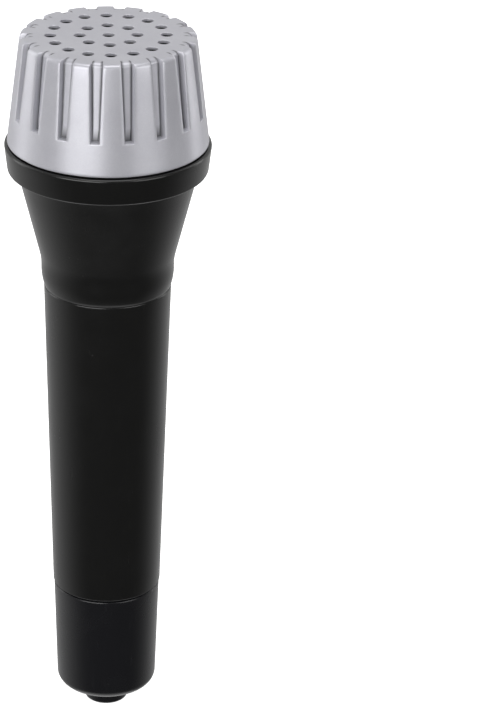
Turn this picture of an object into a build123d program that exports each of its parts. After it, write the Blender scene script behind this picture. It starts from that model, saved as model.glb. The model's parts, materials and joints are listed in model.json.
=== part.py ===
# Toy echo microphone. A silver crown with a perforated top pushes onto a black horn-shaped neck, and the neck
# plugs into a tapered handle tube that an end cap closes. A thin voice dish floats in the neck's mouth, and a
# long coil spring runs down the handle from the dish to a spoked bridge.
# Millimetres. The axis is Z, the underside of the tail nub is z = 0, and the front is -Y.

import os
from math import atan, cos, sin, tan

from build123d import *

os.makedirs("parts", exist_ok=True)

# Clearances
running_fit = 0.05  # radial, where one piece slides on another
end_play = 0.3  # axial, between pieces that face each other
flex_gap = 0.3  # left between the dish and its stops at full travel

# Heights of the outside, stacked from the nub up
nub_height = 4.2
cap_length = 22.5
cap_seam = 0.3
tube_length = 63.5
neck_length = 23.2
collar_height = 5.2
crown_seam = 0.25
crown_height = 20.55

cap_base = nub_height
cap_top = cap_base + cap_length
tube_base = cap_top + cap_seam
tube_top = tube_base + tube_length
collar_base = tube_top + neck_length
collar_top = collar_base + collar_height
crown_foot = collar_top + crown_seam
crown_top = crown_foot + crown_height

# Outside radii
nub_radius = 4.2
tube_base_radius = 10.43
tube_top_radius = 12.0
collar_top_radius = 19.25
cap_step = 0.15  # the cap is this much smaller than the tube at the seam
cap_taper = 0.64
neck_edge_step = 0.05  # the neck's lower edge is this much inside the tube's top
barrel_step = 0.48  # the short barrel above it is this much outside the tube
collar_step = 1.75  # from the flare out to the collar's underside
collar_taper = 0.6
crown_inset = 0.55  # the collar's lip shows this much outside the crown
crown_taper = 2.5

cap_top_radius = tube_base_radius - cap_step
cap_base_radius = cap_top_radius - cap_taper
neck_edge_radius = tube_top_radius - neck_edge_step
barrel_radius = tube_top_radius + barrel_step
collar_base_radius = collar_top_radius - collar_taper
flare_radius = collar_base_radius - collar_step
crown_foot_radius = collar_top_radius - crown_inset
crown_top_radius = crown_foot_radius - crown_taper

# End cap
cap_floor = 1.8
cap_edge_rounding = 2.0
cap_shoulder_rounding = 0.3
nub_edge_rounding = 0.55
nub_root_rounding = 0.7
nub_core_radius = 2.3
nub_floor = 1.6
plug_length = 6.5  # how far the cap reaches into the tube
plug_wall = 1.15
plug_lead = 0.4  # chamfer that starts the plug into the bore

# Handle tube
tube_wall = 1.3  # at the lower end
bore_straight = 10.5  # length at the lower end that isn't tapered
socket_wall = 1.4
socket_depth = 7.9
socket_shoulder = 0.25
tube_edge_rounding = 0.3

# Neck
spigot_wall = 1.3
barrel_foot_height = 1.9
barrel_height = 5.4  # from the tube up to the flare
barrel_rounding = 10.0
throat_inset = 1.6  # the horn's throat inside the barrel's radius
throat_height = 6.6
collar_edge_rounding = 0.45
collar_root_rounding = 0.5
upstand_height = 5.1  # the lip that the crown pushes over
upstand_wall = 1.4
seat_height = 1.6  # the dish's seat, above the underside of the collar
seat_width = 1.5
lip_lead = 0.35

# Voice dish and the ring that keeps it in
dish_clearance = 0.25
dish_thickness = 0.6
dish_rim_thickness = 0.8
dish_rim_width = 1.4
dish_depth = 3.0
dish_hub_margin = 0.6
dish_travel = 0.6  # each way from rest
ring_thickness = 1.7
ring_width = 1.6

# Crown
crown_skirt = 1.6  # wall of the stretch that slides over the upstand
crown_wall = 2.0
crown_shelf_width = 1.15
crown_plate = 0.9
crown_edge_rounding = 0.9
crown_foot_rounding = 0.25
crown_core_rounding = 1.0
groove_count = 18
groove_depth = 1.1
groove_top_width = 2.45
groove_foot_width = 1.7
groove_margin = 1.0  # from the shelf inside the crown up to the ledge that ends each groove
groove_corner = 0.3
hole_radius = 1.1
plate_border = 5.6  # from the plate's edge in to the outer ring of holes
ring_spacing = 5.35
inner_ring_count = 8
outer_ring_count = 16

# Echo spring, its studs and the bridge that holds its lower end
wire_radius = 0.25
coil_radius = 3.2
active_turns = 34
end_turns = 2
end_pitch = 0.56
stud_lap = 0.35  # the stud's flange outside the spring
stud_flange = 0.8
stud_boss_height = 3.0
stud_shank_radius = 1.2
stud_head_radius = 2.2
stud_head_height = 0.8
stud_head_rounding = 0.6
stud_lead = 0.5
coil_seat_gap = 0.1
bridge_ring_height = 3.0
bridge_ring_wall = 1.3
bridge_plate = 1.6
bridge_hub_margin = 0.4
spoke_width = 2.2
spoke_count = 3

# Worked out from the values above
bore_radius = tube_base_radius - tube_wall
plug_radius = bore_radius - running_fit
socket_radius = tube_top_radius - socket_wall
bore_top_radius = socket_radius - socket_shoulder
spigot_radius = socket_radius - running_fit
spigot_bore = spigot_radius - spigot_wall
spigot_length = socket_depth - end_play
throat_radius = barrel_radius - throat_inset

crown_bore = crown_foot_radius - crown_skirt
crown_top_core = crown_top_radius - crown_wall
crown_lean = atan((crown_foot_radius - crown_top_radius) / crown_height)
upstand_radius = crown_bore - running_fit
upstand_top = collar_top + upstand_height
crown_shelf = upstand_top + end_play
groove_foot = crown_shelf + groove_margin
outer_ring_radius = crown_top_radius - plate_border
inner_ring_radius = outer_ring_radius - ring_spacing

mouth_radius = upstand_radius - upstand_wall
seat = collar_base + seat_height
stud_flange_radius = coil_radius + wire_radius + stud_lap
dish_hub_radius = stud_flange_radius + dish_hub_margin
dish_radius = mouth_radius - dish_clearance
dish_rest = seat + flex_gap + dish_travel
dish_floor = dish_rest - dish_depth
ring_base = dish_rest + dish_rim_thickness + dish_travel + flex_gap

bridge_base = cap_top + plug_length + end_play
bridge_top = bridge_base + bridge_ring_height
bridge_hub_radius = stud_flange_radius + bridge_hub_margin
front_start = -90  # polar patterns start at the front, -Y


def rounded_outline(*corners):
    """Closed outline from corners given as (radius, height, rounding)."""
    points = [(r, z) for r, z, _ in corners]
    FilletPolyline(*points, radius=[rounding for _, _, rounding in corners], close=True)


def write(name, piece):
    piece.part.label = name
    export_step(piece.part, f"parts/{name}.step")


# End cap: a cup with a plug that pushes into the tube, and the nub under it
with BuildPart() as end_cap:
    with BuildSketch(Plane.XZ):
        with BuildLine():
            rounded_outline(
                (0, 0, 0),
                (nub_radius, 0, nub_edge_rounding),
                (nub_radius, cap_base, nub_root_rounding),
                (cap_base_radius, cap_base, cap_edge_rounding),
                (cap_top_radius, cap_top, cap_shoulder_rounding),
                (plug_radius, cap_top, 0),
                (plug_radius, cap_top + plug_length - plug_lead, 0),
                (plug_radius - plug_lead, cap_top + plug_length, 0),
                (plug_radius - plug_wall, cap_top + plug_length, 0),
                (plug_radius - plug_wall, cap_base + cap_floor, cap_shoulder_rounding),
                (nub_core_radius, cap_base + cap_floor, 0),
                (nub_core_radius, nub_floor, 0),
                (0, nub_floor, 0),
            )
        make_face()
    revolve(axis=Axis.Z)
write("end_cap", end_cap)

# Handle tube: tapered outside, straight bore for the cap and the bridge, socket for the neck
with BuildPart() as handle_tube:
    with BuildSketch(Plane.XZ):
        with BuildLine():
            rounded_outline(
                (bore_radius, tube_base, 0),
                (tube_base_radius, tube_base, tube_edge_rounding),
                (tube_top_radius, tube_top, tube_edge_rounding),
                (socket_radius, tube_top, 0),
                (socket_radius, tube_top - socket_depth, 0),
                (bore_top_radius, tube_top - socket_depth, 0),
                (bore_radius, tube_base + bore_straight, 0),
            )
        make_face()
    revolve(axis=Axis.Z)
write("handle_tube", handle_tube)

# Neck: spigot, short barrel, flare, collar, and the upstand with the dish's seat inside it
with BuildPart() as horn_neck:
    with BuildSketch(Plane.XZ):
        with BuildLine():
            rounded_outline(
                (spigot_bore, tube_top - spigot_length, 0),
                (spigot_radius - plug_lead, tube_top - spigot_length, 0),
                (spigot_radius, tube_top - spigot_length + plug_lead, 0),
                (spigot_radius, tube_top, 0),
                (neck_edge_radius, tube_top, 0),
                (barrel_radius, tube_top + barrel_foot_height, barrel_rounding),
                (barrel_radius, tube_top + barrel_height, barrel_rounding),
                (flare_radius, collar_base, collar_root_rounding),
                (collar_base_radius, collar_base, collar_edge_rounding),
                (collar_top_radius, collar_top, collar_edge_rounding),
                (upstand_radius, collar_top, 0),
                (upstand_radius, upstand_top - lip_lead, 0),
                (upstand_radius - lip_lead, upstand_top, 0),
                (mouth_radius, upstand_top, 0),
                (mouth_radius, seat, 0),
                (mouth_radius - seat_width, seat, 0),
                (throat_radius, tube_top + throat_height, 0),
                (spigot_bore, tube_top, 0),
            )
        make_face()
    revolve(axis=Axis.Z)
write("horn_neck", horn_neck)

# One groove of the crown: a tapered wedge whose floor runs parallel to the conical wall
groove_height = groove_foot - crown_foot
groove_length = (crown_height - groove_height) / cos(crown_lean)
floor_radius = crown_foot_radius - groove_height * tan(crown_lean) - groove_depth / cos(crown_lean)
overshoot = 2 * groove_depth
side_slope = (groove_top_width - groove_foot_width) / groove_length / 2
end_half_width = groove_foot_width / 2 + side_slope * (groove_length + overshoot)
outward = (0, -cos(crown_lean), sin(crown_lean))
with BuildPart() as groove_cutter:
    with BuildSketch(Plane(origin=(0, -floor_radius, groove_foot), x_dir=(1, 0, 0), z_dir=outward)):
        with BuildLine():
            FilletPolyline(
                (-groove_foot_width / 2, 0),
                (groove_foot_width / 2, 0),
                (end_half_width, groove_length + overshoot),
                (-end_half_width, groove_length + overshoot),
                radius=[groove_corner, groove_corner, 0, 0],
                close=True,
            )
        make_face()
    extrude(amount=groove_depth + overshoot)

# Crown: a drilled plate on a conical wall, whose lower stretch is a straight bore over the upstand
with BuildPart() as grille_crown:
    with BuildSketch(Plane.XZ):
        with BuildLine():
            rounded_outline(
                (crown_bore, crown_foot, 0),
                (crown_foot_radius, crown_foot, crown_foot_rounding),
                (crown_top_radius, crown_top, crown_edge_rounding),
                (0, crown_top, 0),
                (0, crown_top - crown_plate, 0),
                (crown_top_core, crown_top - crown_plate, crown_core_rounding),
                (crown_bore - crown_shelf_width, crown_shelf, 0),
                (crown_bore, crown_shelf, 0),
            )
        make_face()
    revolve(axis=Axis.Z)
    with BuildSketch(Plane.XY.offset(crown_top)):
        Circle(hole_radius)
        with PolarLocations(inner_ring_radius, inner_ring_count, start_angle=front_start):
            Circle(hole_radius)
        with PolarLocations(outer_ring_radius, outer_ring_count, start_angle=front_start):
            Circle(hole_radius)
    extrude(amount=-crown_plate, mode=Mode.SUBTRACT)
    with PolarLocations(0, groove_count, start_angle=180 / groove_count):
        add(groove_cutter.part, mode=Mode.SUBTRACT)
write("grille_crown", grille_crown)

# Voice dish: a thin cone with a flat rim that floats between the seat and the ring
with BuildPart() as voice_diaphragm:
    with BuildSketch(Plane.XZ):
        with BuildLine():
            rounded_outline(
                (stud_shank_radius, dish_floor, 0),
                (dish_hub_radius, dish_floor, dish_thickness),
                (dish_radius - dish_rim_width, dish_rest, dish_thickness),
                (dish_radius, dish_rest, 0),
                (dish_radius, dish_rest + dish_rim_thickness, 0),
                (dish_radius - dish_rim_width, dish_rest + dish_rim_thickness, dish_thickness),
                (dish_hub_radius, dish_floor + dish_thickness, dish_thickness),
                (stud_shank_radius, dish_floor + dish_thickness, 0),
            )
        make_face()
    revolve(axis=Axis.Z)
write("voice_diaphragm", voice_diaphragm)

# Ring pressed into the mouth above the dish
with BuildPart() as diaphragm_ring:
    with BuildSketch(Plane.XZ):
        with BuildLine():
            rounded_outline(
                (mouth_radius - ring_width, ring_base, 0),
                (mouth_radius, ring_base, 0),
                (mouth_radius, ring_base + ring_thickness, 0),
                (mouth_radius - ring_width, ring_base + ring_thickness, lip_lead),
            )
        make_face()
    revolve(axis=Axis.Z)
write("diaphragm_ring", diaphragm_ring)

# Bridge: a short ring pressed into the tube, with spokes to a hub
with BuildPart() as tail_bridge:
    with BuildSketch(Plane.XY.offset(bridge_base)):
        Circle(bore_radius)
        Circle(bore_radius - bridge_ring_wall, mode=Mode.SUBTRACT)
    extrude(amount=bridge_ring_height)
    with BuildSketch(Plane.XY.offset(bridge_top)):
        Circle(bridge_hub_radius)
        spoke_length = bore_radius - bridge_ring_wall / 2
        with PolarLocations(spoke_length / 2, spoke_count, start_angle=front_start):
            Rectangle(spoke_length, spoke_width)
        Circle(stud_shank_radius, mode=Mode.SUBTRACT)
    extrude(amount=-bridge_plate)
write("tail_bridge", tail_bridge)


def spring_stud(name, face, grip, up):
    """Stud for a spring's end: its flange sits on a plate's face, its shank is riveted over behind it."""
    boss_radius = coil_radius - wire_radius - running_fit
    tip = stud_flange + stud_boss_height
    with BuildPart() as stud:
        with BuildSketch(Plane.XZ):
            with BuildLine():
                rounded_outline(
                    *(
                        (r, face + up * height, rounding)
                        for r, height, rounding in (
                            (0, tip, 0),
                            (boss_radius - stud_lead, tip, 0),
                            (boss_radius, tip - stud_lead, 0),
                            (boss_radius, stud_flange, 0),
                            (stud_flange_radius, stud_flange, 0),
                            (stud_flange_radius, 0, 0),
                            (stud_shank_radius, 0, 0),
                            (stud_shank_radius, -grip, 0),
                            (stud_head_radius, -grip, 0),
                            (stud_head_radius, -grip - stud_head_height, stud_head_rounding),
                            (0, -grip - stud_head_height, 0),
                        )
                    )
                )
            make_face()
        revolve(axis=Axis.Z)
    write(name, stud)


spring_stud("voice_stud", dish_floor, dish_thickness, -1)
spring_stud("tail_stud", bridge_top, bridge_plate, 1)

# Echo spring: close-wound turns on each stud and open turns between them
spring_base = bridge_top + stud_flange + wire_radius + coil_seat_gap
spring_top = dish_floor - stud_flange - wire_radius - coil_seat_gap
end_height = end_pitch * end_turns
active_height = spring_top - spring_base - 2 * end_height
with BuildPart() as echo_spring:
    foot = spring_base
    for pitch, turns in (
        (end_pitch, end_turns),
        (active_height / active_turns, active_turns),
        (end_pitch, end_turns),
    ):
        with BuildLine() as winding:
            Helix(pitch=pitch, height=pitch * turns, radius=coil_radius, center=(0, 0, foot))
        with BuildSketch(winding.line ^ 0):
            Circle(wire_radius)
        sweep(path=winding.line, is_frenet=True)
        foot += pitch * turns
write("echo_spring", echo_spring)
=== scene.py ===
import json
import math

import bmesh
import bpy
from mathutils import Matrix, Vector


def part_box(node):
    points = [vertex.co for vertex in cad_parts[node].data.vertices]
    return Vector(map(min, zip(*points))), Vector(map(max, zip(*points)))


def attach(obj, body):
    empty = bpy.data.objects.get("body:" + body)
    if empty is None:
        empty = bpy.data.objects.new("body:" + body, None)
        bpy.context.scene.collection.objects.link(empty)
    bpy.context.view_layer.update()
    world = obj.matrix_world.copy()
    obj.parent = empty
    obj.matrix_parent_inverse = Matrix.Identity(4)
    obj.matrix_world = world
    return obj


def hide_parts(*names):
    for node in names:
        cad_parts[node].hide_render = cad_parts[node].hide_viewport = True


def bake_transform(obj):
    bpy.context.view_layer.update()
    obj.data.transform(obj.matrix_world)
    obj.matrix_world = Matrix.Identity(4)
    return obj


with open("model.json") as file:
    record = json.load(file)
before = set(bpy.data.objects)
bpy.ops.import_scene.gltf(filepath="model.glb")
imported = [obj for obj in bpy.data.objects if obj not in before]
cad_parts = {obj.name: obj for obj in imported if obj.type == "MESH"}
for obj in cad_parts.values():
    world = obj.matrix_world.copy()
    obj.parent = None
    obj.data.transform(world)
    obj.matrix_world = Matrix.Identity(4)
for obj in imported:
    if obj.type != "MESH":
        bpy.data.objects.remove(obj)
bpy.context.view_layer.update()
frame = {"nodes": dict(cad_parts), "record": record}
mm = 0.001
weldDistance = 0.002 * mm

# Node tree helpers

socketKinds = {
    "geometry": "NodeSocketGeometry",
    "number": "NodeSocketFloat",
    "count": "NodeSocketInt",
    "material": "NodeSocketMaterial",
    "object": "NodeSocketObject",
}


def startTree(name, kind, takes, gives):
    tree = bpy.data.node_groups.new(name, kind)
    for way, labels in (("INPUT", takes), ("OUTPUT", gives)):
        for label, sort in labels.items():
            tree.interface.new_socket(label, in_out=way, socket_type=socketKinds[sort])
    return tree, tree.nodes.new("NodeGroupInput").outputs, tree.nodes.new("NodeGroupOutput").inputs


def plug(tree, value, socket):
    if isinstance(value, bpy.types.NodeSocket):
        tree.links.new(value, socket)
    else:
        socket.default_value = value


def addNode(tree, kind, inputs=None, **settings):
    node = tree.nodes.new(kind)
    for name, value in settings.items():
        setattr(node, name, value)
    for key, value in (inputs or {}).items():
        plug(tree, value, node.inputs[key])
    return node


def calc(tree, operation, *values):
    node = addNode(tree, "ShaderNodeMath", operation=operation)
    for value, socket in zip(values, node.inputs):
        plug(tree, value, socket)
    return node.outputs[0]


def joinXyz(tree, x, y, z):
    return addNode(tree, "ShaderNodeCombineXYZ", {"X": x, "Y": y, "Z": z}).outputs[0]


def moveTo(tree, geometry, position):
    return addNode(tree, "GeometryNodeSetPosition", {"Geometry": geometry, "Position": position}).outputs[0]


def weldPoints(tree, geometry, distance):
    return addNode(tree, "GeometryNodeMergeByDistance", {"Geometry": geometry, "Distance": distance}).outputs[0]


def makeReal(tree, geometry):
    return addNode(tree, "GeometryNodeRealizeInstances", {"Geometry": geometry}).outputs[0]


def endTree(tree, geometry, finish, socket):
    inputs = {"Geometry": makeReal(tree, geometry), "Material": finish}
    plug(tree, addNode(tree, "GeometryNodeSetMaterial", inputs).outputs[0], socket)


def growMesh(tree, source, name, values):
    # runs a geometry tree on a source mesh and keeps the outcome as a plain mesh
    maker = bpy.data.objects.new(name + "Maker", source)
    bpy.context.scene.collection.objects.link(maker)
    modifier = maker.modifiers.new("make", "NODES")
    modifier.node_group = tree
    for item in tree.interface.items_tree:
        if item.in_out == "INPUT" and item.name in values:
            modifier[item.identifier] = values[item.name]
    bpy.context.view_layer.update()
    evaluated = maker.evaluated_get(bpy.context.evaluated_depsgraph_get())
    made = bpy.data.meshes.new_from_object(evaluated)
    bpy.data.objects.remove(maker)
    made.name = name
    return made


# Shader groups: each puts out heights, masks or roughness that change over the surface


def noiseAt(tree, place, scale, detail=2.0, rough=0.5, stretch=None):
    if stretch:
        place = addNode(tree, "ShaderNodeMapping", {"Vector": place, "Scale": stretch}).outputs[0]
    inputs = {"Vector": place, "Scale": scale, "Detail": detail, "Roughness": rough}
    return addNode(tree, "ShaderNodeTexNoise", inputs).outputs["Fac"]


def bandPass(tree, value, low, high, lowOut=0.0, highOut=1.0):
    inputs = {"Value": value, "From Min": low, "From Max": high, "To Min": lowOut, "To Max": highOut}
    return addNode(tree, "ShaderNodeMapRange", inputs, interpolation_type="SMOOTHSTEP").outputs[0]


def mouldedGrain():
    # fine tool texture, slow waviness of the wall and a thin parting line down each side
    takes = {"Grain Scale": "number", "Grain": "number", "Waviness": "number", "Parting Line": "number"}
    tree, given, out = startTree("mouldedGrain", "ShaderNodeTree", takes, {"Height": "number"})
    place = addNode(tree, "ShaderNodeTexCoord").outputs["Object"]
    grain = noiseAt(tree, place, given["Grain Scale"], 3.0, 0.6)
    wave = noiseAt(tree, place, 70.0, 1.0, 0.4, (1.0, 1.0, 0.35))
    beside = addNode(tree, "ShaderNodeSeparateXYZ", {"Vector": place}).outputs["Y"]
    line = bandPass(tree, calc(tree, "ABSOLUTE", beside), 0.00004, 0.00016, 1.0, 0.0)
    height = calc(tree, "MULTIPLY", grain, given["Grain"])
    height = calc(tree, "MULTIPLY_ADD", wave, given["Waviness"], height)
    height = calc(tree, "MULTIPLY_ADD", line, given["Parting Line"], height)
    plug(tree, height, out["Height"])
    return tree


def handledSurface():
    # roughness that varies with smears, with faint rubbed streaks along the length
    takes = {"Roughness": "number", "Smears": "number", "Streaks": "number"}
    gives = {"Roughness": "number", "Streak": "number"}
    tree, given, out = startTree("handledSurface", "ShaderNodeTree", takes, gives)
    place = addNode(tree, "ShaderNodeTexCoord").outputs["Object"]
    smear = bandPass(tree, noiseAt(tree, place, 95.0, 4.0, 0.62), 0.42, 0.7)
    fine = noiseAt(tree, place, 1900.0, 2.0, 0.5, (1.0, 1.0, 0.12))
    streak = bandPass(tree, fine, 0.62, 0.74)
    rough = calc(tree, "MULTIPLY_ADD", smear, given["Smears"], given["Roughness"])
    rough = calc(tree, "MULTIPLY_ADD", streak, given["Streaks"], rough)
    plug(tree, rough, out["Roughness"])
    plug(tree, streak, out["Streak"])
    return tree


def paintFlake():
    # the sparkle of a silver finish: small cells, each a little lighter or darker
    takes = {"Flake Scale": "number"}
    gives = {"Flake": "number", "Cloud": "number"}
    tree, given, out = startTree("paintFlake", "ShaderNodeTree", takes, gives)
    place = addNode(tree, "ShaderNodeTexCoord").outputs["Object"]
    cells = addNode(tree, "ShaderNodeTexVoronoi", {"Vector": place, "Scale": given["Flake Scale"]})
    tone = addNode(tree, "ShaderNodeSeparateColor", {"Color": cells.outputs["Color"]}).outputs["Red"]
    plug(tree, tone, out["Flake"])
    plug(tree, noiseAt(tree, place, 140.0, 3.0, 0.55), out["Cloud"])
    return tree


def dustSpecks():
    # sparse pale specks of dust
    takes = {"Speck Scale": "number", "Amount": "number"}
    tree, given, out = startTree("dustSpecks", "ShaderNodeTree", takes, {"Mask": "number"})
    place = addNode(tree, "ShaderNodeTexCoord").outputs["Object"]
    cells = addNode(tree, "ShaderNodeTexVoronoi", {"Vector": place, "Scale": given["Speck Scale"]})
    lone = addNode(tree, "ShaderNodeSeparateColor", {"Color": cells.outputs["Color"]}).outputs["Green"]
    spot = bandPass(tree, cells.outputs["Distance"], 0.05, 0.12, 1.0, 0.0)
    chosen = calc(tree, "LESS_THAN", lone, given["Amount"])
    plug(tree, calc(tree, "MULTIPLY", spot, chosen), out["Mask"])
    return tree


groups = {make.__name__: make() for make in (mouldedGrain, handledSurface, paintFlake, dustSpecks)}


def useGroup(tree, name, inputs):
    node = addNode(tree, "ShaderNodeGroup", node_tree=groups[name])
    for key, value in inputs.items():
        plug(tree, value, node.inputs[key])
    return node.outputs


def mixColour(tree, share, first, second):
    node = addNode(tree, "ShaderNodeMix", data_type="RGBA")
    for index, value in ((0, share), (6, first), (7, second)):
        plug(tree, value, node.inputs[index])
    return node.outputs[2]


def startMaterial(name, **sockets):
    material = bpy.data.materials.new(name)
    material.use_nodes = True
    tree = material.node_tree
    shader = tree.nodes["Principled BSDF"]
    for label, value in sockets.items():
        shader.inputs[label.replace("_", " ")].default_value = value
    return material, tree, shader


def bumpInto(tree, shader, height, depth):
    bump = addNode(tree, "ShaderNodeBump", {"Height": height, "Strength": 1.0, "Distance": depth})
    plug(tree, bump.outputs[0], shader.inputs["Normal"])


def silverPaint():
    look = {
        "light": (0.63, 0.63, 0.67, 1), "dark": (0.5, 0.495, 0.545, 1), "insideShade": (0.018, 0.018, 0.02, 1),
        "grooveShadeColour": (0.05, 0.05, 0.056, 1), "roughness": 0.35, "metallic": 0.45, "flakeScale": 5200.0,
        "top": 139.7 * mm, "holeShadeStart": 0.5 * mm, "holeShadeFull": 0.62 * mm,
        "coreRadius": 14.9 * mm, "coreSlope": 0.12,
    }
    material, tree, shader = startMaterial("silverPaint", Coat_Weight=0.12, Coat_Roughness=0.2)
    place = addNode(tree, "ShaderNodeTexCoord").outputs["Object"]
    parts = addNode(tree, "ShaderNodeSeparateXYZ", {"Vector": place}).outputs
    flat = joinXyz(tree, parts["X"], parts["Y"], 0.0)
    radius = addNode(tree, "ShaderNodeVectorMath", {0: flat}, operation="LENGTH").outputs["Value"]
    # painted shade: faces inside the core radius that lie more than 0.5 mm below the top, which are the hole
    # walls and the crown's inside, fade to a near-black colour by 0.62 mm and lose their metallic share
    depth = calc(tree, "SUBTRACT", look["top"], parts["Z"])
    core = calc(tree, "MULTIPLY_ADD", depth, look["coreSlope"], look["coreRadius"])
    outside = bandPass(tree, calc(tree, "SUBTRACT", radius, core), -0.1 * mm, 0.1 * mm)
    aboveHoleShade = bandPass(tree, depth, look["holeShadeStart"], look["holeShadeFull"], 1.0, 0.0)
    unshaded = calc(tree, "MAXIMUM", outside, aboveHoleShade)
    plug(tree, calc(tree, "MULTIPLY", unshaded, look["metallic"]), shader.inputs["Metallic"])
    flake = useGroup(tree, "paintFlake", {"Flake Scale": look["flakeScale"]})
    tone = calc(tree, "MULTIPLY_ADD", flake["Flake"], 0.2, calc(tree, "MULTIPLY", flake["Cloud"], 0.9))
    # painted shade: the groove-shade attribute darkens the silver to near-black along the inner corner of each
    # groove wall
    grooveShade = addNode(tree, "ShaderNodeAttribute", attribute_name="grooveShade").outputs["Fac"]
    silver = mixColour(tree, tone, look["dark"], look["light"])
    silver = mixColour(tree, grooveShade, silver, look["grooveShadeColour"])
    # the near-black painted shade takes the place of the silver inside the crown and deep in the holes
    plug(tree, mixColour(tree, unshaded, look["insideShade"], silver), shader.inputs["Base Color"])
    inputs = {"Roughness": look["roughness"], "Smears": 0.05, "Streaks": 0.02}
    handled = useGroup(tree, "handledSurface", inputs)
    rough = calc(tree, "MULTIPLY_ADD", flake["Flake"], 0.03, handled["Roughness"])
    plug(tree, rough, shader.inputs["Roughness"])
    inputs = {"Grain Scale": 1500.0, "Grain": 0.4, "Waviness": 1.2, "Parting Line": 0.0}
    bumpInto(tree, shader, useGroup(tree, "mouldedGrain", inputs)["Height"], 0.008 * mm)
    return material


def blackPlastic(name, colour, paler, roughness, partingLine):
    material, tree, shader = startMaterial(name, Specular_IOR_Level=0.5, IOR=1.5)
    handled = useGroup(tree, "handledSurface", {"Roughness": roughness, "Smears": 0.05, "Streaks": 0.02})
    plug(tree, handled["Roughness"], shader.inputs["Roughness"])
    specks = useGroup(tree, "dustSpecks", {"Speck Scale": 620.0, "Amount": 0.02})
    body = mixColour(tree, calc(tree, "MULTIPLY", handled["Streak"], 0.15), colour, paler)
    dusty = mixColour(tree, calc(tree, "MULTIPLY", specks["Mask"], 0.12), body, (0.16, 0.16, 0.16, 1))
    plug(tree, dusty, shader.inputs["Base Color"])
    inputs = {"Grain Scale": 2100.0, "Grain": 0.5, "Waviness": 2.2, "Parting Line": partingLine}
    bumpInto(tree, shader, useGroup(tree, "mouldedGrain", inputs)["Height"], 0.014 * mm)
    return material


def paleMoulding(name, colour, paler, roughness):
    material, tree, shader = startMaterial(name, Subsurface_Weight=0.12, Subsurface_Scale=0.0012)
    handled = useGroup(tree, "handledSurface", {"Roughness": roughness, "Smears": 0.1, "Streaks": 0.04})
    plug(tree, handled["Roughness"], shader.inputs["Roughness"])
    cloud = useGroup(tree, "paintFlake", {"Flake Scale": 2400.0})["Cloud"]
    plug(tree, mixColour(tree, cloud, colour, paler), shader.inputs["Base Color"])
    inputs = {"Grain Scale": 1500.0, "Grain": 0.8, "Waviness": 1.0, "Parting Line": 0.0}
    bumpInto(tree, shader, useGroup(tree, "mouldedGrain", inputs)["Height"], 0.012 * mm)
    return material


def springWire():
    material, tree, shader = startMaterial("springWire", Metallic=1.0, Anisotropic=0.3)
    handled = useGroup(tree, "handledSurface", {"Roughness": 0.24, "Smears": 0.16, "Streaks": 0.1})
    plug(tree, handled["Roughness"], shader.inputs["Roughness"])
    cloud = useGroup(tree, "paintFlake", {"Flake Scale": 3000.0})["Cloud"]
    steel = mixColour(tree, cloud, (0.42, 0.41, 0.39, 1), (0.6, 0.59, 0.57, 1))
    plug(tree, steel, shader.inputs["Base Color"])
    inputs = {"Grain Scale": 4200.0, "Grain": 0.5, "Waviness": 0.4, "Parting Line": 0.0}
    bumpInto(tree, shader, useGroup(tree, "mouldedGrain", inputs)["Height"], 0.006 * mm)
    return material


finishes = {
    "silver_shell": silverPaint(),
    "black_shell": blackPlastic("blackShell", (0.0075, 0.0075, 0.0072, 1), (0.022, 0.022, 0.022, 1), 0.22, 0.9),
    "cap_shell": blackPlastic("capShell", (0.0078, 0.0079, 0.0095, 1), (0.022, 0.022, 0.025, 1), 0.25, 0.9),
    "dish_film": paleMoulding("dishFilm", (0.3, 0.31, 0.31, 1), (0.42, 0.43, 0.42, 1), 0.32),
    "natural_plastic": paleMoulding("naturalPlastic", (0.5, 0.48, 0.42, 1), (0.62, 0.6, 0.54, 1), 0.4),
    "spring_steel": springWire(),
}
print("materials made:", ", ".join(finishes))

# Which body and finish each node has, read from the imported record

bodyOf = {node: body for body, nodes in frame["record"]["behaviour"]["bodies"].items() for node in nodes}
slotOf = {row["node"]: row["material_slot"] for row in frame["record"]["subparts"]}


def keepPiece(mesh, name, node, sharpAngle=math.radians(38)):
    # closes the mesh, points it outwards and puts it in place of the CAD node
    shape = bmesh.new()
    shape.from_mesh(mesh)
    bmesh.ops.remove_doubles(shape, verts=shape.verts, dist=weldDistance)
    bmesh.ops.recalc_face_normals(shape, faces=shape.faces)
    openEdges = sum(not edge.is_manifold for edge in shape.edges)
    shape.to_mesh(mesh)
    shape.free()
    mesh.polygons.foreach_set("use_smooth", [True] * len(mesh.polygons))
    mesh.set_sharp_from_angle(angle=sharpAngle)
    mesh.materials.clear()
    mesh.materials.append(finishes[slotOf[node]])
    piece = bpy.data.objects.new(name, mesh)
    bpy.context.scene.collection.objects.link(piece)
    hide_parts(node)
    print("  ", name, len(mesh.polygons), "faces, open edges", openEdges)
    return piece


# Turned pieces: the CAD node's half section, spun again with more and evener steps


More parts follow.
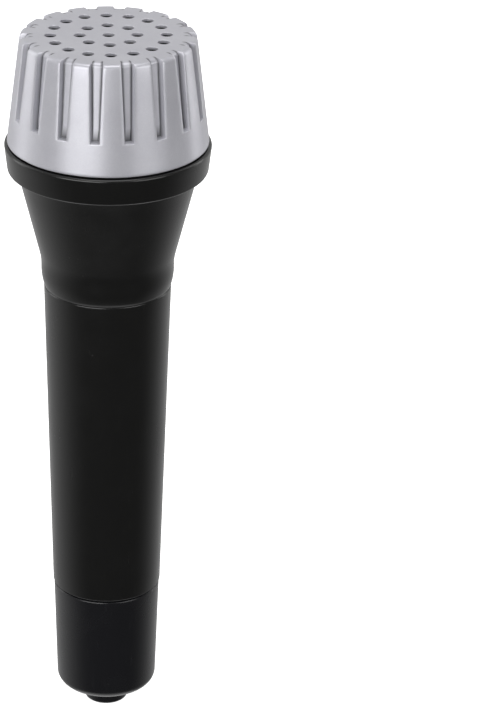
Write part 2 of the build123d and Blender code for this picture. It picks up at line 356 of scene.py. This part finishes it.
def outlineOf(node):
    # the half section of a round CAD node, in order, as points (radius, 0, height)
    cut = bmesh.new()
    cut.from_mesh(frame["nodes"][node].data)
    bmesh.ops.remove_doubles(cut, verts=cut.verts, dist=weldDistance)
    onSeam = {v for v in cut.verts if abs(v.co.y) < weldDistance and v.co.x > -weldDistance}
    nextTo = {v: set() for v in onSeam}
    for edge in cut.edges:
        if edge.verts[0] in onSeam and edge.verts[1] in onSeam:
            nextTo[edge.verts[0]].add(edge.verts[1])
            nextTo[edge.verts[1]].add(edge.verts[0])
    points = {v: (v.co.x, v.co.z) for v in onSeam}
    kept = {v: near for v, near in nextTo.items() if near or abs(v.co.x) < weldDistance}
    links = {points[v]: {points[w] for w in near} for v, near in kept.items()}
    cut.free()
    oneLink = (p for p, near in links.items() if len(near) == 1 and p[0] > weldDistance)
    loose = sorted(oneLink, key=lambda p: p[1])
    while loose:  # a flat ring has no line on the seam, so its two edges are linked at one height
        first = loose.pop()
        level = [p for p in loose if abs(p[1] - first[1]) < weldDistance]
        second = level[0] if level else (0.0, first[1])
        if level:
            loose.remove(second)
        links.setdefault(second, set()).add(first)
        links[first].add(second)
    ends = [p for p in links if len(links[p]) == 1]
    walk = [ends[0] if ends else next(iter(links))]
    while True:
        onward = [p for p in links[walk[-1]] if p not in walk]
        if not onward:
            break
        walk.append(onward[0])
    return [Vector((r, 0, z)) for r, z in walk], not ends


def lineMesh(points, closed, name):
    mesh = bpy.data.meshes.new(name)
    edges = [(i, i + 1) for i in range(len(points) - 1)] + ([(len(points) - 1, 0)] if closed else [])
    mesh.from_pydata([tuple(p) for p in points], edges, [])
    return mesh


def turningTree():
    # spins an ordered outline about Z: a grid with one row per outline point and one column per step
    takes = {"Outline": "geometry", "Steps": "count", "Rows": "count", "Weld": "number", "Finish": "material"}
    tree, given, out = startTree("turnedShell", "GeometryNodeTree", takes, {"Shell": "geometry"})
    columns = calc(tree, "ADD", given["Steps"], 1)
    grid = addNode(tree, "GeometryNodeMeshGrid", {"Vertices X": given["Rows"], "Vertices Y": columns})
    index = addNode(tree, "GeometryNodeInputIndex").outputs[0]
    row = calc(tree, "FLOOR", calc(tree, "DIVIDE", calc(tree, "ADD", index, 0.5), columns))
    column = calc(tree, "SUBTRACT", index, calc(tree, "MULTIPLY", row, columns))
    size = addNode(tree, "GeometryNodeAttributeDomainSize", {"Geometry": given["Outline"]})
    onOutline = calc(tree, "MODULO", row, size.outputs["Point Count"])
    sample = addNode(tree, "GeometryNodeSampleIndex", data_type="FLOAT_VECTOR")
    plug(tree, given["Outline"], sample.inputs["Geometry"])
    plug(tree, addNode(tree, "GeometryNodeInputPosition").outputs[0], sample.inputs["Value"])
    plug(tree, onOutline, sample.inputs["Index"])
    point = addNode(tree, "ShaderNodeSeparateXYZ", {"Vector": sample.outputs["Value"]}).outputs
    angle = calc(tree, "DIVIDE", calc(tree, "MULTIPLY", column, math.tau), given["Steps"])
    x = calc(tree, "MULTIPLY", point["X"], calc(tree, "COSINE", angle))
    y = calc(tree, "MULTIPLY", point["X"], calc(tree, "SINE", angle))
    at = joinXyz(tree, x, y, point["Z"])
    shell = weldPoints(tree, moveTo(tree, grid.outputs["Mesh"], at), given["Weld"])
    endTree(tree, shell, given["Finish"], out["Shell"])
    return tree


turnedShell = turningTree()


def spinOutline(points, closed, name, steps, finish):
    rows = len(points) + closed
    values = {"Steps": steps, "Rows": rows, "Weld": weldDistance, "Finish": finish}
    return growMesh(turnedShell, lineMesh(points, closed, name + "Outline"), name, values)


def softenEdges(mesh, name, width, segments=2, angle=math.radians(38)):
    holder = bpy.data.objects.new(name + "Holder", mesh)
    bpy.context.scene.collection.objects.link(holder)
    bevel = holder.modifiers.new("soften", "BEVEL")
    bevel.width = width
    bevel.segments = segments
    bevel.limit_method = "ANGLE"
    bevel.angle_limit = angle
    bpy.context.view_layer.update()
    made = bpy.data.meshes.new_from_object(holder.evaluated_get(bpy.context.evaluated_depsgraph_get()))
    bpy.data.objects.remove(holder)
    made.name = name
    return made


def subdivideOutline(points, longest):
    finer = []
    for first, second in zip(points, points[1:] + points[:1]):
        parts = max(1, math.ceil((second - first).length / longest))
        finer += [first.lerp(second, i / parts) for i in range(parts)]
    return finer


turned = {
    "neckShell": {"node": "horn_neck", "steps": 240, "softEdge": 0.1 * mm},
    "tubeShell": {"node": "handle_tube", "steps": 240, "softEdge": 0.1 * mm},
    "capShell": {"node": "end_cap", "steps": 200, "softEdge": 0.08 * mm},
    "dishRing": {"node": "diaphragm_ring", "steps": 160, "softEdge": 0.12 * mm},
    "voiceStud": {"node": "voice_stud", "steps": 64, "softEdge": 0.08 * mm},
    "tailStud": {"node": "tail_stud", "steps": 64, "softEdge": 0.08 * mm},
}
for name, make in turned.items():
    points, closed = outlineOf(make["node"])
    finish = finishes[slotOf[make["node"]]]
    shell = spinOutline(points, closed, name, make["steps"], finish)
    piece = keepPiece(softenEdges(shell, name, make["softEdge"]), name, make["node"])
    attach(piece, bodyOf[make["node"]])
print("turned pieces made")

# Voice dish: the turned outline with concentric ripples pressed into its cone

dish = {
    "node": "voice_diaphragm", "steps": 180, "ripples": 5, "ripple": 0.16 * mm,
    "from": 5.4 * mm, "to": 13.2 * mm,
}


def rippledDish():
    points, closed = outlineOf(dish["node"])
    points = subdivideOutline(points, 0.25 * mm)
    for point in points:
        share = (point.x - dish["from"]) / (dish["to"] - dish["from"])
        if 0 < share < 1:
            wave = math.sin(share * dish["ripples"] * math.tau)
            point.z += dish["ripple"] * wave * math.sin(share * math.pi)
    shell = spinOutline(points, closed, "voiceDish", dish["steps"], finishes[slotOf[dish["node"]]])
    piece = keepPiece(shell, "voiceDish", dish["node"])
    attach(piece, bodyOf[dish["node"]])


rippledDish()

# Crown: one flute is drawn as a grid and repeated round the axis, then the plates are filled round the holes

crown = {
    "node": "grille_crown", "flutes": 18, "footRadius": 18.7, "topRadius": 16.2, "edgeRounding": 0.9,
    "fluteDepth": 1.1, "fluteTopWidth": 2.45, "fluteFootWidth": 1.7, "ledgeHeight": 6.15,
    "lipOutside": 0.1, "wallInside": 0.26, "notchRounding": 1.0, "plateRadius": 13.6, "grooveShadeWidth": 0.17,
    "bore": 17.1, "shelfHeight": 5.15, "shelfRadius": 15.95, "coreRadius": 14.2, "coreRounding": 1.0,
    "plate": 0.9, "innerPlateRadius": 12.7, "footRounding": 0.25,
}
holes = {
    "radius": 1.1, "lipRounding": 0.1, "margin": 0.12, "sides": 32, "undersideChamfer": 0.08,
    "rings": ((0.0, 1), (5.25, 8), (10.6, 16)),
}


def smoother(t):
    t = min(1.0, max(0.0, t))
    return t * t * t * (t * (6 * t - 15) + 10)


def crownRows(foot, top):
    # rows from the inner plate, round the foot and up to the outer plate, each with the radius and height of
    # the land and of the groove's floor, the inset above the ledge and the height that sets the groove's width
    noGroove, fullGroove = -1.0, 9.0  # insets that lie outside and inside every wall
    cornerPoints, wallRows, plateRows = 6, 6, 3
    lean = math.atan((crown["footRadius"] - crown["topRadius"]) / (top - foot))
    ledge = foot + crown["ledgeHeight"]
    inward = crown["fluteDepth"] / math.cos(lean)
    innerPlate = top - crown["plate"]
    rounding = crown["coreRounding"]
    coreTop = crown["coreRadius"] - rounding
    plain = [(crown["innerPlateRadius"], innerPlate), (coreTop - 0.2, innerPlate)]
    for i in range(cornerPoints):
        turn = math.radians(90 - 15 * i)
        plain.append((coreTop + rounding * math.cos(turn), innerPlate - rounding + rounding * math.sin(turn)))
    shelf = foot + crown["shelfHeight"]
    plain += [
        (crown["coreRadius"] + 0.03, innerPlate - 1.3), (crown["shelfRadius"] - 0.02, shelf + 0.2),
        (crown["shelfRadius"], shelf + 0.06), (crown["shelfRadius"] + 0.06, shelf),
        (crown["bore"] - 0.1, shelf), (crown["bore"], shelf - 0.1), (crown["bore"], foot + 0.3),
        (crown["bore"] + 0.05, foot + 0.12), (crown["bore"] + 0.2, foot),
    ]
    edge = crown["footRounding"]
    centre = crown["footRadius"] - edge - 0.03
    for i in range(cornerPoints):
        turn = math.radians(-90 + 18 * i)
        plain.append((centre + edge * math.cos(turn), foot + edge + edge * math.sin(turn)))

    def cone(height):
        return crown["footRadius"] - (height - foot) * math.tan(lean)

    for height in (foot + 0.6, foot + 2.0, foot + 4.0, ledge - 0.6, ledge - 0.25):
        plain.append((cone(height), height))
    rows = [(r, z, r, z, noGroove, ledge) for r, z in plain]
    lipSteps = 9
    for i in range(lipSteps + 1):
        inset = -crown["lipOutside"] + (crown["wallInside"] + crown["lipOutside"]) * i / lipSteps
        height = ledge + inset
        rows.append((cone(height), height, cone(height) - inward, height, inset, height))
    rounding = crown["edgeRounding"]
    arcStart = top - rounding + rounding * math.sin(lean)
    for i in range(1, wallRows):
        height = ledge + crown["wallInside"] + (arcStart - ledge - crown["wallInside"]) * i / wallRows
        rows.append((cone(height), height, cone(height) - inward, height, fullGroove, height))
    arcSteps = 8
    straight = 3
    notch = crown["notchRounding"]
    landCentre = crown["topRadius"] + rounding * math.tan(lean) - rounding / math.cos(lean)
    floorCentre = crown["topRadius"] - inward + notch * math.tan(lean) - notch / math.cos(lean)
    notchStart = top - notch + notch * math.sin(lean)
    for i in range(arcSteps + 1):
        turn = lean + (math.pi / 2 - lean) * i / arcSteps
        landRadius = landCentre + rounding * math.cos(turn)
        landHeight = top - rounding + rounding * math.sin(turn)
        if i < straight:
            floorHeight = arcStart + (notchStart - arcStart) * i / straight
            floorRadius = cone(floorHeight) - inward
        else:
            bend = lean + (math.pi / 2 - lean) * (i - straight) / (arcSteps - straight)
            floorRadius = floorCentre + notch * math.cos(bend)
            floorHeight = top - notch + notch * math.sin(bend)
        rows.append((landRadius, landHeight, floorRadius, floorHeight, fullGroove, top))
    for i in range(1, plateRows + 1):
        landRadius = landCentre + (crown["plateRadius"] - landCentre) * i / plateRows
        floorRadius = floorCentre + (crown["plateRadius"] - floorCentre) * i / plateRows
        rows.append((landRadius, top, floorRadius, top, fullGroove, top))
    return rows, ledge


def fluteMesh(foot, top):
    # half of the columns lie on each side of the groove's middle, and follow its tapering edges
    rows, ledge = crownRows(foot, top)
    half = math.pi / crown["flutes"]
    wallSteps = 8
    wall = crown["wallInside"] + crown["lipOutside"]
    insets = [crown["wallInside"] - wall * i / wallSteps for i in range(wallSteps + 1)]
    landShares = (0.3, 0.65, 1.0)
    vertices = []
    grooveShade = []
    for landRadius, landHeight, floorRadius, floorHeight, above, height in rows:
        drop = math.hypot(landRadius - floorRadius, landHeight - floorHeight) / crown["fluteDepth"]
        share = min(1.0, max(0.0, (height - ledge) / (top - ledge)))
        halfWidth = (crown["fluteFootWidth"] + (crown["fluteTopWidth"] - crown["fluteFootWidth"]) * share) / 2
        across = [(0.0, halfWidth), ((halfWidth - insets[0]) / 2, (halfWidth + insets[0]) / 2)]
        across += [(halfWidth - inset, inset) for inset in insets]
        reference = max(landRadius, crown["topRadius"]) if height >= ledge else crown["footRadius"]
        side = [(offset / reference, inset) for offset, inset in across]
        lastAngle = side[-1][0]
        side += [(lastAngle + (half - lastAngle) * share, -1.0) for share in landShares]
        ring = [(-angle, inset) for angle, inset in reversed(side[1:])] + side
        for angle, inset in ring:
            near = min(inset, above)
            depth = smoother((near + crown["lipOutside"]) / wall)
            radius = landRadius + (floorRadius - landRadius) * depth
            level = landHeight + (floorHeight - landHeight) * depth
            # painted shade: a dark band along the inner corner where each groove wall meets the floor, scaled by
            # how deep the groove is at that row
            corner = 1.0 - abs(near - crown["wallInside"]) / crown["grooveShadeWidth"]
            grooveShade.append(max(0.0, corner) * min(1.0, drop))
            turn = angle + half - math.pi / 2
            vertices.append((radius * math.cos(turn) * mm, radius * math.sin(turn) * mm, level * mm))
    columns = len(ring)
    faces = []
    for row in range(len(rows) - 1):
        for column in range(columns - 1):
            first = row * columns + column
            faces.append((first, first + 1, first + columns + 1, first + columns))
    mesh = bpy.data.meshes.new("flute")
    mesh.from_pydata(vertices, [], faces)
    mesh.attributes.new("grooveShade", "FLOAT", "POINT").data.foreach_set("value", grooveShade)
    return mesh


def holeLiner(top):
    # the rounded lip and bore of one hole
    lip, radius = holes["lipRounding"], holes["radius"]
    points = [Vector((radius + lip + holes["margin"], 0, top))]
    for i in range(6):
        turn = math.radians(90 - 18 * i)
        points.append(Vector((radius + lip - lip * math.cos(turn), 0, top - lip + lip * math.sin(turn))))
    under = top - crown["plate"]
    chamfer = holes["undersideChamfer"]
    points += [
        Vector((radius, 0, under + chamfer)), Vector((radius + chamfer, 0, under)),
        Vector((radius + chamfer + holes["margin"], 0, under)),
    ]
    mesh = spinOutline([p * mm for p in points], False, "holeLiner", holes["sides"], finishes["silver_shell"])
    liner = bpy.data.objects.new("holeLiner", mesh)
    bpy.context.scene.collection.objects.link(liner)
    return liner


def holePoints(tree):
    # one point per hole, ring by ring, the first of each ring at the front
    join = addNode(tree, "GeometryNodeJoinGeometry")
    index = addNode(tree, "GeometryNodeInputIndex").outputs[0]
    for radius, count in holes["rings"]:
        points = addNode(tree, "GeometryNodePoints", {"Count": count})
        angle = calc(tree, "MULTIPLY", index, math.tau / count)
        x = calc(tree, "MULTIPLY", calc(tree, "SINE", angle), radius * mm)
        y = calc(tree, "MULTIPLY", calc(tree, "COSINE", angle), -radius * mm)
        tree.links.new(moveTo(tree, points.outputs[0], joinXyz(tree, x, y, 0.0)), join.inputs[0])
    return join.outputs[0]


def crownTree():
    takes = {
        "Flute": "geometry", "Flutes": "count", "Liner": "object", "Top": "number", "Plate": "number",
        "Top Ring": "number", "Under Ring": "number", "Sides": "count", "Weld": "number", "Finish": "material",
    }
    tree, given, out = startTree("flutedCrown", "GeometryNodeTree", takes, {"Crown": "geometry"})
    index = addNode(tree, "GeometryNodeInputIndex").outputs[0]
    middle = addNode(tree, "GeometryNodePoints", {"Count": given["Flutes"]}).outputs[0]
    turn = calc(tree, "DIVIDE", calc(tree, "MULTIPLY", index, math.tau), given["Flutes"])
    spread = addNode(tree, "GeometryNodeInstanceOnPoints", {"Points": middle, "Instance": given["Flute"]})
    turnVector = joinXyz(tree, 0.0, 0.0, turn)
    rotation = addNode(tree, "FunctionNodeEulerToRotation", {"Euler": turnVector}).outputs[0]
    plug(tree, rotation, spread.inputs["Rotation"])
    wall = weldPoints(tree, makeReal(tree, spread.outputs[0]), given["Weld"])
    edgeFaces = addNode(tree, "GeometryNodeInputMeshEdgeNeighbors").outputs[0]
    oneFace = addNode(tree, "FunctionNodeCompare", {2: edgeFaces, 3: 1}, data_type="INT", operation="EQUAL")
    rim = oneFace.outputs[0]
    at = addNode(tree, "GeometryNodeInputPosition").outputs[0]
    place = addNode(tree, "ShaderNodeSeparateXYZ", {"Vector": at})
    between = calc(tree, "SUBTRACT", given["Top"], calc(tree, "MULTIPLY", given["Plate"], 0.5))
    isTop = calc(tree, "GREATER_THAN", place.outputs["Z"], between)
    rimTop = calc(tree, "MULTIPLY", rim, isTop)
    rimUnder = calc(tree, "MULTIPLY", rim, calc(tree, "SUBTRACT", 1.0, isTop))
    points = holePoints(tree)
    join = addNode(tree, "GeometryNodeJoinGeometry")
    tree.links.new(wall, join.inputs[0])
    level = {"top": given["Top"], "under": calc(tree, "SUBTRACT", given["Top"], given["Plate"])}
    sides = (("top", rimTop, given["Top Ring"]), ("under", rimUnder, given["Under Ring"]))
    for side, selection, ring in sides:
        border = addNode(tree, "GeometryNodeMeshToCurve", {"Mesh": wall, "Selection": selection}).outputs[0]
        inputs = {"Resolution": given["Sides"], "Radius": ring}
        circle = addNode(tree, "GeometryNodeCurvePrimitiveCircle", inputs).outputs[0]
        circles = addNode(tree, "GeometryNodeInstanceOnPoints", {"Points": points, "Instance": circle})
        lines = addNode(tree, "GeometryNodeJoinGeometry")
        tree.links.new(border, lines.inputs[0])
        tree.links.new(makeReal(tree, circles.outputs[0]), lines.inputs[0])
        filled = addNode(tree, "GeometryNodeFillCurve", {"Curve": lines.outputs[0]}, mode="TRIANGLES")
        flat = addNode(tree, "GeometryNodeInputPosition").outputs[0]
        flatParts = addNode(tree, "ShaderNodeSeparateXYZ", {"Vector": flat}).outputs
        at = joinXyz(tree, flatParts["X"], flatParts["Y"], level[side])
        tree.links.new(moveTo(tree, filled.outputs[0], at), join.inputs[0])
    liner = addNode(tree, "GeometryNodeObjectInfo", {"Object": given["Liner"]}, transform_space="ORIGINAL")
    liners = addNode(
        tree, "GeometryNodeInstanceOnPoints", {"Points": points, "Instance": liner.outputs["Geometry"]}
    )
    tree.links.new(makeReal(tree, liners.outputs[0]), join.inputs[0])
    endTree(tree, weldPoints(tree, join.outputs[0], given["Weld"]), given["Finish"], out["Crown"])
    return tree


def buildCrown():
    low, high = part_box(crown["node"])
    foot, top = low.z / mm, high.z / mm
    liner = holeLiner(top)
    values = {
        "Flutes": crown["flutes"], "Liner": liner, "Top": high.z, "Plate": crown["plate"] * mm,
        "Top Ring": (holes["radius"] + holes["lipRounding"] + holes["margin"]) * mm,
        "Under Ring": (holes["radius"] + holes["undersideChamfer"] + holes["margin"]) * mm,
        "Sides": holes["sides"], "Weld": weldDistance, "Finish": finishes["silver_shell"],
    }
    mesh = growMesh(crownTree(), fluteMesh(foot, top), "crownShell", values)
    bpy.data.objects.remove(liner)
    piece = keepPiece(mesh, "crownShell", crown["node"])
    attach(piece, bodyOf[crown["node"]])


buildCrown()
print("crown made")

# Echo spring: a coil whose last turns at each end lie close together

spring = {
    "node": "echo_spring", "wire": 0.25 * mm, "radius": 3.2 * mm, "endTurns": 2, "endPitch": 0.56 * mm,
    "openTurns": 34, "stepsPerTurn": 40, "sides": 10,
}


def coilTree():
    takes = {
        "Line": "geometry", "Radius": "number", "Wire": "number", "Open Turns": "number", "End Turns": "number",
        "End Pitch": "number", "Foot": "number", "Height": "number", "Steps": "count", "Sides": "count",
        "Finish": "material",
    }
    tree, given, out = startTree("coiledWire", "GeometryNodeTree", takes, {"Coil": "geometry"})
    turns = calc(tree, "MULTIPLY_ADD", given["End Turns"], 2.0, given["Open Turns"])
    straight = addNode(tree, "GeometryNodeCurvePrimitiveLine")
    count = calc(tree, "MULTIPLY_ADD", turns, given["Steps"], 1.0)
    fine = addNode(tree, "GeometryNodeResampleCurve", {"Curve": straight.outputs[0], "Count": count})
    along = addNode(tree, "GeometryNodeSplineParameter").outputs["Factor"]
    turn = calc(tree, "MULTIPLY", along, turns)
    endHeight = calc(tree, "MULTIPLY", given["End Turns"], given["End Pitch"])
    openHeight = calc(tree, "SUBTRACT", given["Height"], calc(tree, "MULTIPLY", endHeight, 2.0))
    openPitch = calc(tree, "DIVIDE", openHeight, given["Open Turns"])
    lowTurns = calc(tree, "MINIMUM", turn, given["End Turns"])
    lastStart = calc(tree, "ADD", given["End Turns"], given["Open Turns"])
    lastTurns = calc(tree, "MAXIMUM", calc(tree, "SUBTRACT", turn, lastStart), 0.0)
    midTurns = calc(tree, "SUBTRACT", calc(tree, "SUBTRACT", turn, lowTurns), lastTurns)
    endTurns = calc(tree, "ADD", lowTurns, lastTurns)
    height = calc(tree, "MULTIPLY_ADD", endTurns, given["End Pitch"], given["Foot"])
    height = calc(tree, "MULTIPLY_ADD", midTurns, openPitch, height)
    angle = calc(tree, "MULTIPLY", turn, math.tau)
    x = calc(tree, "MULTIPLY", calc(tree, "COSINE", angle), given["Radius"])
    y = calc(tree, "MULTIPLY", calc(tree, "SINE", angle), given["Radius"])
    coil = moveTo(tree, fine.outputs[0], joinXyz(tree, x, y, height))
    inputs = {"Resolution": given["Sides"], "Radius": given["Wire"]}
    section = addNode(tree, "GeometryNodeCurvePrimitiveCircle", inputs)
    wire = addNode(
        tree, "GeometryNodeCurveToMesh",
        {"Curve": coil, "Profile Curve": section.outputs[0], "Fill Caps": True},
    )
    endTree(tree, wire.outputs[0], given["Finish"], out["Coil"])
    return tree


def buildSpring():
    low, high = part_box(spring["node"])
    values = {
        "Radius": spring["radius"], "Wire": spring["wire"], "Open Turns": float(spring["openTurns"]),
        "End Turns": float(spring["endTurns"]), "End Pitch": spring["endPitch"], "Foot": low.z + spring["wire"],
        "Height": high.z - low.z - 2 * spring["wire"], "Steps": spring["stepsPerTurn"], "Sides": spring["sides"],
        "Finish": finishes["spring_steel"],
    }
    mesh = growMesh(coilTree(), bpy.data.meshes.new("springStart"), "echoSpring", values)
    piece = keepPiece(mesh, "echoSpring", spring["node"])
    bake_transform(piece)


buildSpring()
print("spring made")

# The bridge keeps its CAD shape and takes the moulded finish

bridge = frame["nodes"]["tail_bridge"]
bridge.data.materials.clear()
bridge.data.materials.append(finishes[slotOf["tail_bridge"]])

# Stage, light and camera

stage = {"reach": 3.0, "colour": (0.9, 0.9, 0.9, 1), "glow": 0.85}


def buildStage():
    # the floor glows a little so that it stays pale far from the lights, and it lights nothing itself
    floorMesh = bpy.data.meshes.new("floor")
    reach = stage["reach"]
    corners = [(-reach, -reach, 0), (reach, -reach, 0), (reach, reach, 0), (-reach, reach, 0)]
    floorMesh.from_pydata(corners, [], [(0, 1, 2, 3)])
    material, tree, shader = startMaterial("paleFloor", Roughness=0.9, Specular_IOR_Level=0.1)
    shader.inputs["Base Color"].default_value = stage["colour"]
    shader.inputs["Emission Color"].default_value = (1, 1, 1, 1)
    shader.inputs["Emission Strength"].default_value = stage["glow"]
    floorMesh.materials.append(material)
    floor = bpy.data.objects.new("floor", floorMesh)
    bpy.context.scene.collection.objects.link(floor)
    floor.visible_glossy = False
    floor.visible_diffuse = False


lights = {
    "keySoftbox": {"at": (-0.55, -0.9, 0.34), "aim": (0, 0, 0.12), "size": (0.95, 0.75), "power": 8.2},
    "fillSoftbox": {"at": (0.75, -0.8, 0.4), "aim": (0, 0, 0.12), "size": (0.7, 0.8), "power": 4.5},
    "topSoftbox": {"at": (0.0, -0.15, 1.1), "aim": (0, 0, 0.12), "size": (0.7, 0.7), "power": 4.0},
    "leftStrip": {"at": (-0.8, 0.35, 0.3), "aim": (0, 0, 0.08), "size": (0.3, 1.0), "power": 1.6},
    "rightStrip": {"at": (0.8, 0.35, 0.3), "aim": (0, 0, 0.08), "size": (0.2, 1.0), "power": 1.4},
}
room = {"front": 0.07, "back": 0.6, "nearTable": 0.9, "turn": -10.0}


def buildLights():
    for name, make in lights.items():
        lamp = bpy.data.lights.new(name, "AREA")
        lamp.shape = "RECTANGLE"
        lamp.size, lamp.size_y = make["size"]
        lamp.energy = make["power"]
        holder = bpy.data.objects.new(name, lamp)
        holder.location = make["at"]
        facing = Vector(make["aim"]) - Vector(make["at"])
        holder.rotation_euler = facing.to_track_quat("-Z", "Y").to_euler()
        bpy.context.scene.collection.objects.link(holder)


def buildRoom():
    # a dim room in front, a pale one behind and to the sides, and a white table top straight below
    world = bpy.data.worlds.new("studio")
    bpy.context.scene.world = world
    world.use_nodes = True
    tree = world.node_tree
    way = addNode(tree, "ShaderNodeTexCoord").outputs["Generated"]
    rotation = (0, 0, math.radians(room["turn"]))
    sideways = addNode(tree, "ShaderNodeMapping", {"Vector": way, "Rotation": rotation})
    parts = addNode(tree, "ShaderNodeSeparateXYZ", {"Vector": sideways.outputs[0]}).outputs
    strength = bandPass(tree, parts["Y"], -0.6, 0.6, room["front"], room["back"])
    table = bandPass(tree, parts["Z"], -0.93, -0.8, 1.0, 0.0)
    strength = calc(tree, "MULTIPLY_ADD", table, room["nearTable"], strength)
    plug(tree, strength, tree.nodes["Background"].inputs["Strength"])
    tree.nodes["Background"].inputs["Color"].default_value = (1, 1, 1, 1)


cameraSet = {
    "turn": -2.3, "distance": 0.5552, "height": 0.34075, "pan": 2.625, "pitch": 25.5, "roll": 1.34,
    "focal": 164.62,
}


def buildCamera():
    turn = Matrix.Rotation(math.radians(cameraSet["turn"]), 3, "Z")
    pan, pitch, roll = (math.radians(cameraSet[key]) for key in ("pan", "pitch", "roll"))
    away = math.cos(pitch)
    forward = Vector((math.sin(pan) * away, math.cos(pan) * away, -math.sin(pitch)))
    level = Vector((math.cos(pan), -math.sin(pan), 0))
    above = level.cross(forward)
    right = level * math.cos(roll) + above * math.sin(roll)
    up = above * math.cos(roll) - level * math.sin(roll)
    facing = turn @ Matrix((right, up, -forward)).transposed()
    lens = bpy.data.cameras.new("viewpoint")
    lens.sensor_width = 36.0
    lens.lens = cameraSet["focal"]
    camera = bpy.data.objects.new("viewpoint", lens)
    place = turn @ Vector((0, -cameraSet["distance"], cameraSet["height"]))
    camera.matrix_world = Matrix.Translation(place) @ facing.to_4x4()
    bpy.context.scene.collection.objects.link(camera)
    bpy.context.scene.camera = camera


buildStage()
buildLights()
buildRoom()
buildCamera()
bpy.context.scene.view_settings.view_transform = "Standard"
print("stage, lights and camera set")
